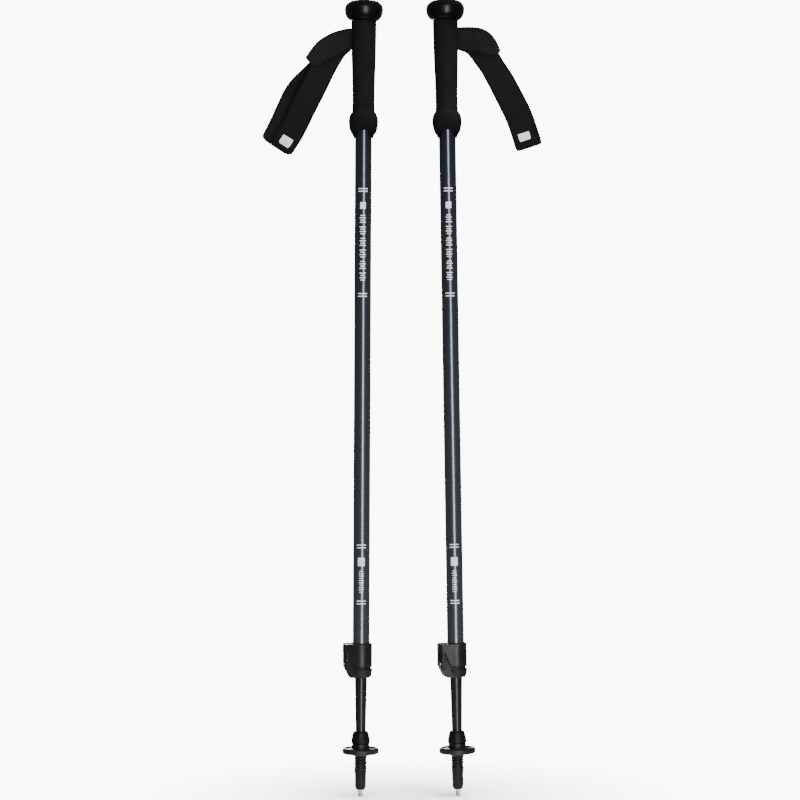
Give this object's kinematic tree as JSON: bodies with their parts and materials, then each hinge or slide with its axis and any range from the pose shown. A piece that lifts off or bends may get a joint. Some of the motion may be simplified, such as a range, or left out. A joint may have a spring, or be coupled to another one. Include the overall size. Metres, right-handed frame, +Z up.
{
  "type": "trekking poles",
  "caption": "Pair of telescopic trekking poles with round knobs, foam grips, wrist straps, side lever locks, small baskets and hard tips.",
  "frame": {"origin": "on the ground, midway between the two tips", "axes": "+Z up along the poles, +X from the left pole to the right pole, +Y away from the viewer, towards the back of the grips"},
  "size_m": [0.2981, 0.041, 0.85],
  "materials": {
    "knob_gloss": "glossy moulded black plastic",
    "core_plastic": "matte moulded nylon",
    "foam": "closed-cell EVA foam, matte black with a fine pebbled skin",
    "webbing": "black woven webbing with padded lining",
    "upper_paint": "dark navy metallic paint on aluminium",
    "lower_paint": "black anodised aluminium, satin",
    "lock_plastic": "textured dark grey glass-filled nylon",
    "lever_plastic": "satin dark grey nylon",
    "tip_plastic": "matte dark grey nylon",
    "basket_plastic": "matte black nylon",
    "steel": "plain steel",
    "carbide": "sintered carbide, grey"
  },
  "bodies": {
    "uppers": {"left_knob": "knob_gloss", "left_knob_cap": "knob_gloss", "left_knob_screw": "steel", "left_grip_core": "core_plastic", "left_foam_grip": "foam", "left_strap_pin": "steel", "left_strap_bobbin": "core_plastic", "left_upper_tube": "upper_paint", "left_lock_body": "lock_plastic", "left_lever_pin": "steel", "left_clamp_shoe": "steel", "right_knob": "knob_gloss", "right_knob_cap": "knob_gloss", "right_knob_screw": "steel", "right_grip_core": "core_plastic", "right_foam_grip": "foam", "right_strap_pin": "steel", "right_strap_bobbin": "core_plastic", "right_upper_tube": "upper_paint", "right_lock_body": "lock_plastic", "right_lever_pin": "steel", "right_clamp_shoe": "steel"},
    "left_lower": {"left_lower_tube": "lower_paint", "left_guide_plug": "core_plastic", "left_flex_tip": "tip_plastic", "left_basket": "basket_plastic", "left_tip_holder": "steel", "left_carbide_tip": "carbide"},
    "left_lever": {"left_lock_lever": "lever_plastic"},
    "left_screw": {"left_tension_screw": "steel"},
    "left_wrist_strap": {"left_strap": "webbing"},
    "right_lower": {"right_lower_tube": "lower_paint", "right_guide_plug": "core_plastic", "right_flex_tip": "tip_plastic", "right_basket": "basket_plastic", "right_tip_holder": "steel", "right_carbide_tip": "carbide"},
    "right_lever": {"right_lock_lever": "lever_plastic"},
    "right_screw": {"right_tension_screw": "steel"},
    "right_wrist_strap": {"right_strap": "webbing"}
  },
  "joints": [
    {"name": "left_shaft_slide", "type": "slide", "parent": "uppers", "child": "left_lower", "axis": [-0.0105, 0, -0.9999], "range_m": [0, 0.53]},
    {"name": "left_lever_hinge", "type": "hinge", "parent": "uppers", "child": "left_lever", "pos_m": [-0.06533, -0.0034, 0.15015], "axis": [-0.0105, 0, -0.9999], "range_deg": [0, 120]},
    {"name": "left_tension_turn", "type": "hinge", "parent": "uppers", "child": "left_screw", "pos_m": [-0.06552, -0.0034, 0.14135], "axis": [-0.9999, 0, 0.0105], "continuous": true},
    {"name": "left_strap_swing", "type": "hinge", "parent": "uppers", "child": "left_wrist_strap", "pos_m": [-0.05936, 0, 0.80632], "axis": [0.0105, 0, 0.9999], "range_deg": [-60, 60]},
    {"name": "right_shaft_slide", "type": "slide", "parent": "uppers", "child": "right_lower", "axis": [0.0105, 0, -0.9999], "range_m": [0, 0.53]},
    {"name": "right_lever_hinge", "type": "hinge", "parent": "uppers", "child": "right_lever", "pos_m": [0.0368, -0.0069, 0.14985], "axis": [0.0105, 0, -0.9999], "range_deg": [0, 120]},
    {"name": "right_tension_turn", "type": "hinge", "parent": "uppers", "child": "right_screw", "pos_m": [0.03679, -0.00693, 0.14105], "axis": [-0.9702, -0.2419, -0.0102], "continuous": true},
    {"name": "right_strap_swing", "type": "hinge", "parent": "uppers", "child": "right_wrist_strap", "pos_m": [0.05936, 0, 0.80632], "axis": [-0.0105, 0, 0.9999], "range_deg": [-60, 60]}
  ]
}
